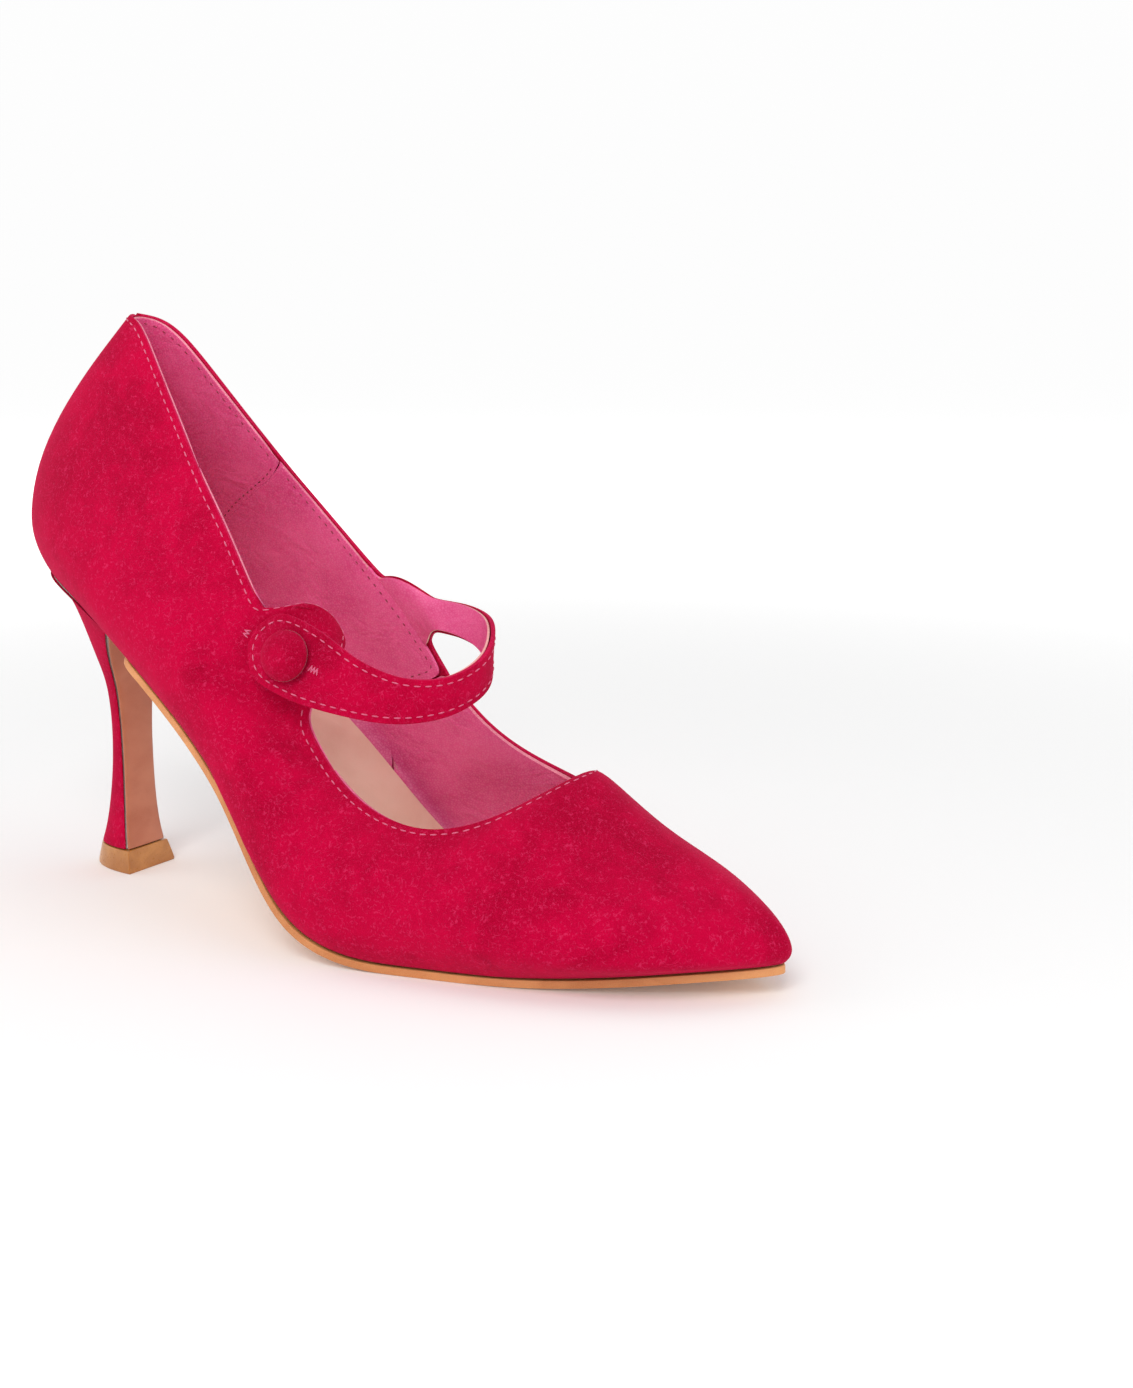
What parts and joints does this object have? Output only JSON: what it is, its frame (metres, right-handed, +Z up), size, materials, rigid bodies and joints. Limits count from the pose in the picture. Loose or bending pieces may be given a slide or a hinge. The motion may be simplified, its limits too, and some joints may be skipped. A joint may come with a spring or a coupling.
{
  "type": "high heel pump",
  "caption": "Pointed-toe high heel pump, right foot, with a flared heel and a strap over the instep that buttons on an ear at the outer side.",
  "frame": {"origin": "bottom centre of the shoe's bounding box, on the ground it stands on", "axes": "+X towards the toe, +Y towards the inner (medial) side, +Z up"},
  "size_m": [0.2334, 0.0798, 0.156],
  "materials": {
    "suede": "napped crimson suede, matt, with a mottled nap",
    "lining_leather": "grained pink leather, soft sheen",
    "sock_leather": "smooth beige leather, satin",
    "sole": "tan sole leather, waxed edge",
    "heel_breast": "smooth tan leather, satin",
    "top_piece_rubber": "ochre-brown polyurethane, satin",
    "stiffener": "thermoplastic sheet, matt",
    "board": "pressed fibre board, matt",
    "foam": "latex foam, matt",
    "heel_plastic": "moulded plastic, matt",
    "steel": "bright steel",
    "elastic": "covered elastic cord"
  },
  "bodies": {
    "shoe": {"vamp": "suede", "medial_quarter": "suede", "heel_cover": "suede", "heel_grip_lining": "lining_leather", "lateral_quarter_lining": "lining_leather", "medial_quarter_lining": "lining_leather", "vamp_lining": "lining_leather", "sock": "sock_leather", "outsole": "sole", "heel_breast_cover": "heel_breast", "top_piece": "top_piece_rubber", "toe_puff": "stiffener", "heel_counter": "stiffener", "bottom_filler": "board", "shank_board": "board", "insole_board": "board", "heel_pad": "foam", "forefoot_pad": "foam", "heel_core": "heel_plastic", "shank": "steel", "heel_tube": "steel", "top_piece_pin": "steel", "heel_screw": "steel", "heel_nail_1": "steel", "heel_nail_2": "steel", "heel_nail_3": "steel", "heel_nail_4": "steel"},
    "strap": {"strap": "suede", "strap_lining": "lining_leather", "elastic_loop": "elastic"},
    "button": {"button_dome": "suede", "button_back": "steel"}
  },
  "joints": [
    {"name": "strap_swing", "type": "hinge", "parent": "shoe", "child": "strap", "pos_m": [-0.00925, 0.02797, 0.0795], "axis": [-0.6018, 0.1003, 0.7923], "range_deg": [0, 7], "stiffness_Nm_per_rad": 1},
    {"name": "button_pull", "type": "slide", "parent": "strap", "child": "button", "axis": [0.1353, -0.9478, 0.2889], "range_m": [0, 0.003], "stiffness_N_per_m": 300}
  ]
}
